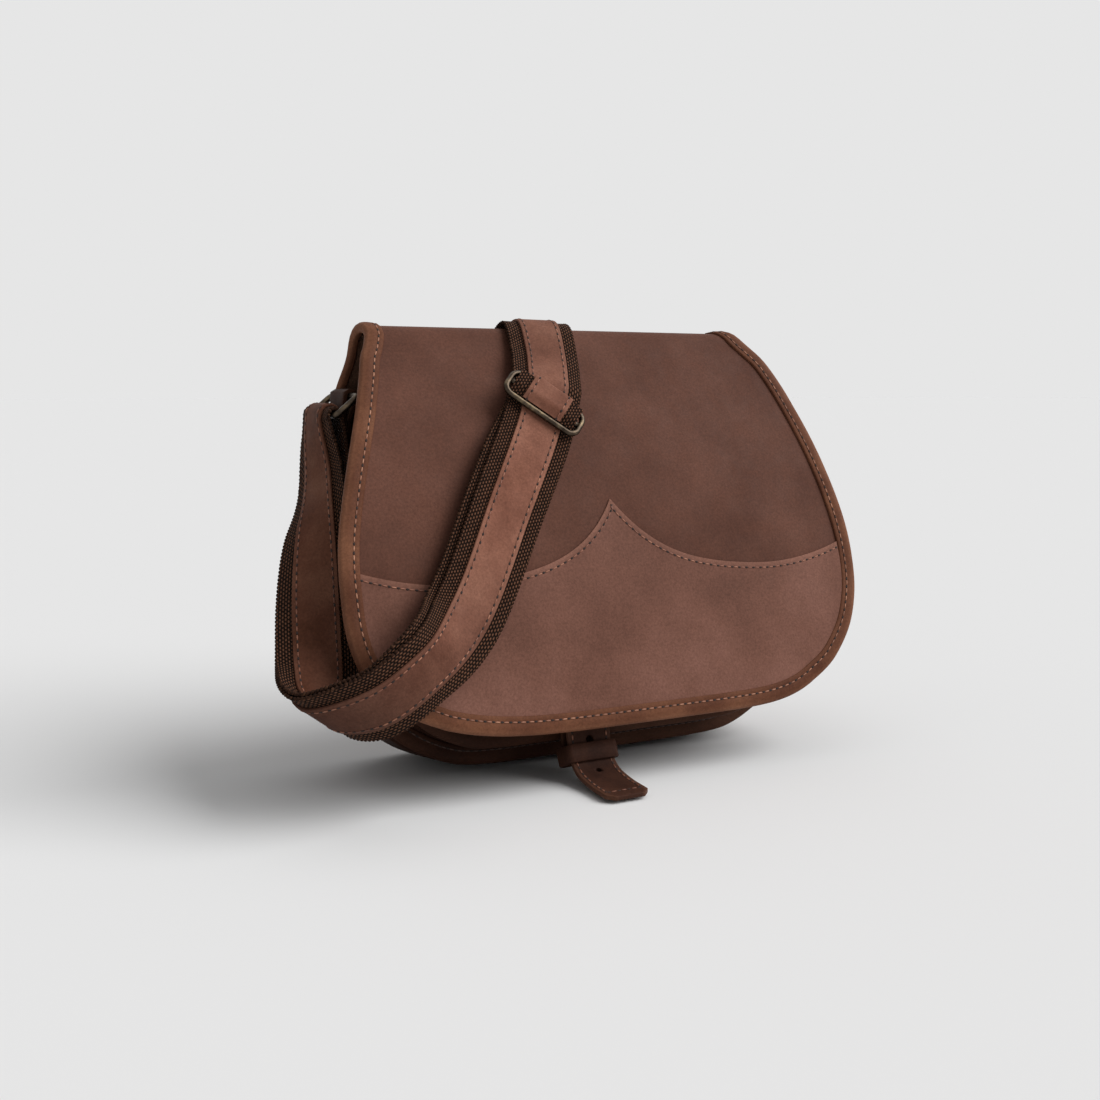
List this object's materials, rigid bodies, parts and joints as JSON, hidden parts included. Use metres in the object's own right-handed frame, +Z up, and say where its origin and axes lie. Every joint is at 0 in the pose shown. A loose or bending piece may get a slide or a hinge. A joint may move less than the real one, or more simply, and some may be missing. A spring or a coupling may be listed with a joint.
{
  "type": "hunting shoulder bag",
  "caption": "Small leather hunting bag with a saddle-shaped flap, front pocket, buckled closure and a webbing shoulder strap on wire rings.",
  "frame": {"origin": "centre of the flat base that the bag stands on", "axes": "+Z up, -Y towards the flap's face, +X to the right of a person facing the flap"},
  "size_m": [0.3602, 0.1846, 0.2521],
  "materials": {
    "flap_leather": "waxed, matt satin",
    "yoke_leather": "waxed, matt satin",
    "binding_leather": "waxed, matt satin",
    "body_leather": "waxed, matt satin",
    "strap_leather": "waxed, matt satin",
    "webbing": "coarse woven",
    "metal": "antique, satin"
  },
  "bodies": {
    "bag": {"back_panel": "flap_leather", "back_binding": "binding_leather", "flap_fold": "flap_leather", "body_gusset": "body_leather", "front_panel": "body_leather", "front_binding": "body_leather", "pocket_gusset": "body_leather", "pocket_panel": "body_leather", "pocket_binding": "body_leather", "tab_left": "body_leather", "tab_right": "body_leather", "stud_post": "metal", "shoulder_webbing": "webbing", "shoulder_strip": "strap_leather"},
    "flap": {"flap_panel": "flap_leather", "flap_binding": "binding_leather", "flap_yoke": "yoke_leather", "closure_billet": "binding_leather", "closure_chape": "body_leather", "closure_keeper": "binding_leather", "buckle_frame": "metal", "stud_socket": "metal"},
    "prong": {"buckle_prong": "metal"},
    "ring_left": {"ring_left": "metal"},
    "ring_right": {"ring_right": "metal"},
    "slider": {"slider_frame": "metal", "slider_bar": "metal", "slider_wrap": "webbing", "slider_wrap_strip": "strap_leather"}
  },
  "joints": [
    {"name": "flap_hinge", "type": "hinge", "parent": "bag", "child": "flap", "pos_m": [0, 0.019, 0.234], "axis": [-1, 0, 0], "range_deg": [0, 100], "deforming": ["shoulder_webbing", "shoulder_strip"]},
    {"name": "prong_hinge", "type": "hinge", "parent": "flap", "child": "prong", "pos_m": [-0.023, -0.05572, 0.04782], "axis": [1, 0, 0], "range_deg": [0, 4]},
    {"name": "ring_left_swing", "type": "hinge", "parent": "bag", "child": "ring_left", "pos_m": [-0.13163, 0.017, 0.20782], "axis": [0, 1, 0], "range_deg": [-12, 12]},
    {"name": "ring_right_swing", "type": "hinge", "parent": "bag", "child": "ring_right", "pos_m": [0.13163, 0.017, 0.20782], "axis": [0, 1, 0], "range_deg": [-12, 12]},
    {"name": "slider_slide", "type": "slide", "parent": "flap", "child": "slider", "axis": [-0.361, -0.4757, -0.8021], "range_m": [0, 0.02]}
  ]
}
